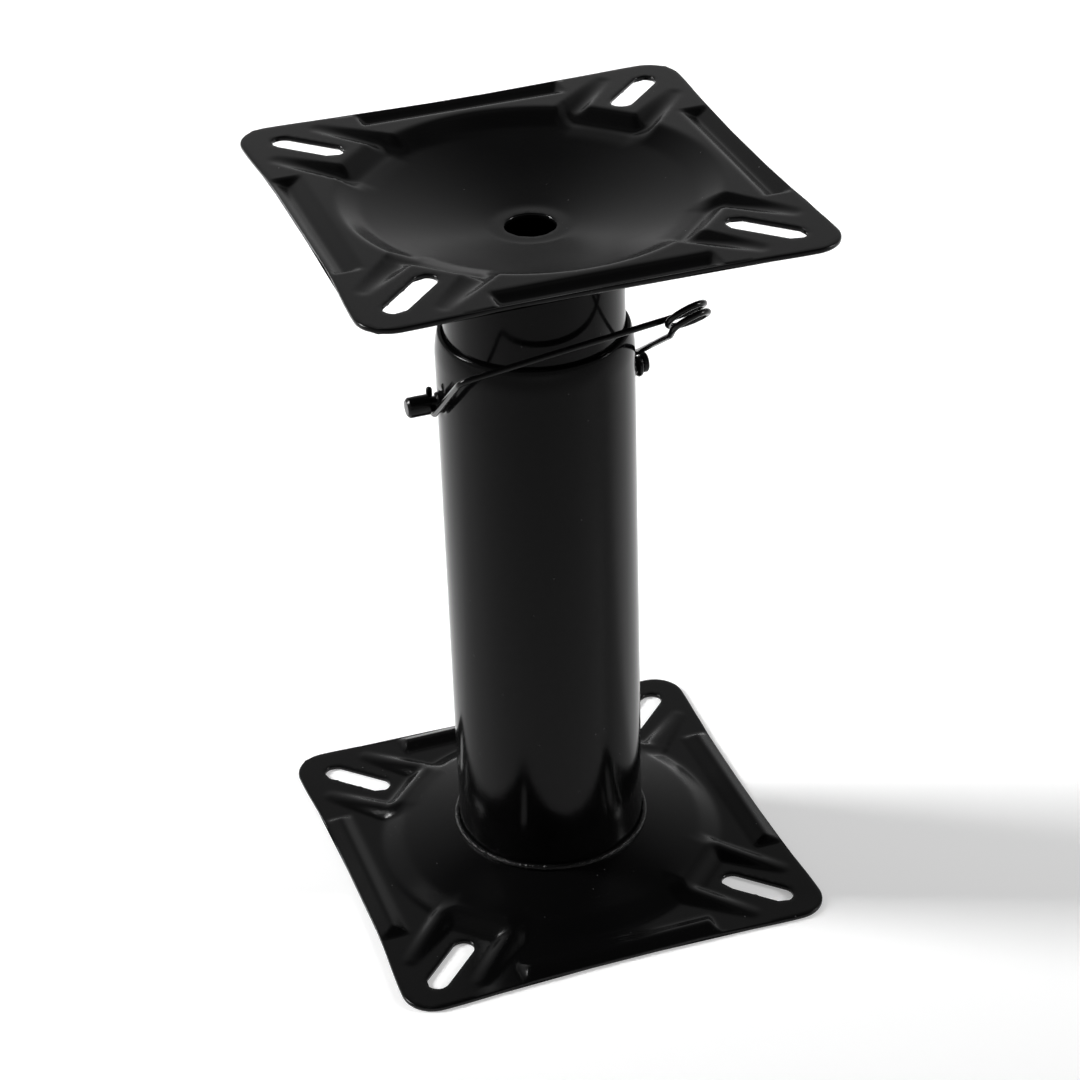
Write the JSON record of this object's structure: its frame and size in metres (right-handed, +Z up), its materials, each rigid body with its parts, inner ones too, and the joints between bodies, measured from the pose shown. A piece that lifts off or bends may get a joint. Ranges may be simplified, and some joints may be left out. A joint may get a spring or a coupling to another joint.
{
  "type": "adjustable seat pedestal",
  "caption": "Telescopic seat pedestal with square stamped plates at foot and top, locked in height by a cross pin with a wire clip.",
  "frame": {"origin": "middle of the base plate, on the surface that it stands on", "axes": "+Z up along the tubes, +X along the cross pin towards the clip's coil, +Y towards the back, away from the clip's bar"},
  "size_m": [0.178, 0.178, 0.2995],
  "materials": {
    "black_coat": "gloss black powder coat",
    "black_wire": "gloss black coated spring wire"
  },
  "bodies": {
    "stand": {"base_plate": "black_coat", "base_weld": "black_coat", "outer_tube": "black_coat", "height_pin": "black_coat"},
    "seat_post": {"inner_tube": "black_coat", "seat_plate": "black_coat", "seat_weld": "black_coat"},
    "clip": {"wire_clip": "black_wire"}
  },
  "joints": [
    {"name": "height_slide", "type": "slide", "parent": "stand", "child": "seat_post", "axis": [0, 0, 1], "range_m": [0, 0.15]},
    {"name": "clip_swing", "type": "hinge", "parent": "stand", "child": "clip", "pos_m": [0, 0, 0.217], "axis": [1, 0, 0], "range_deg": [-3.5, 78]}
  ]
}
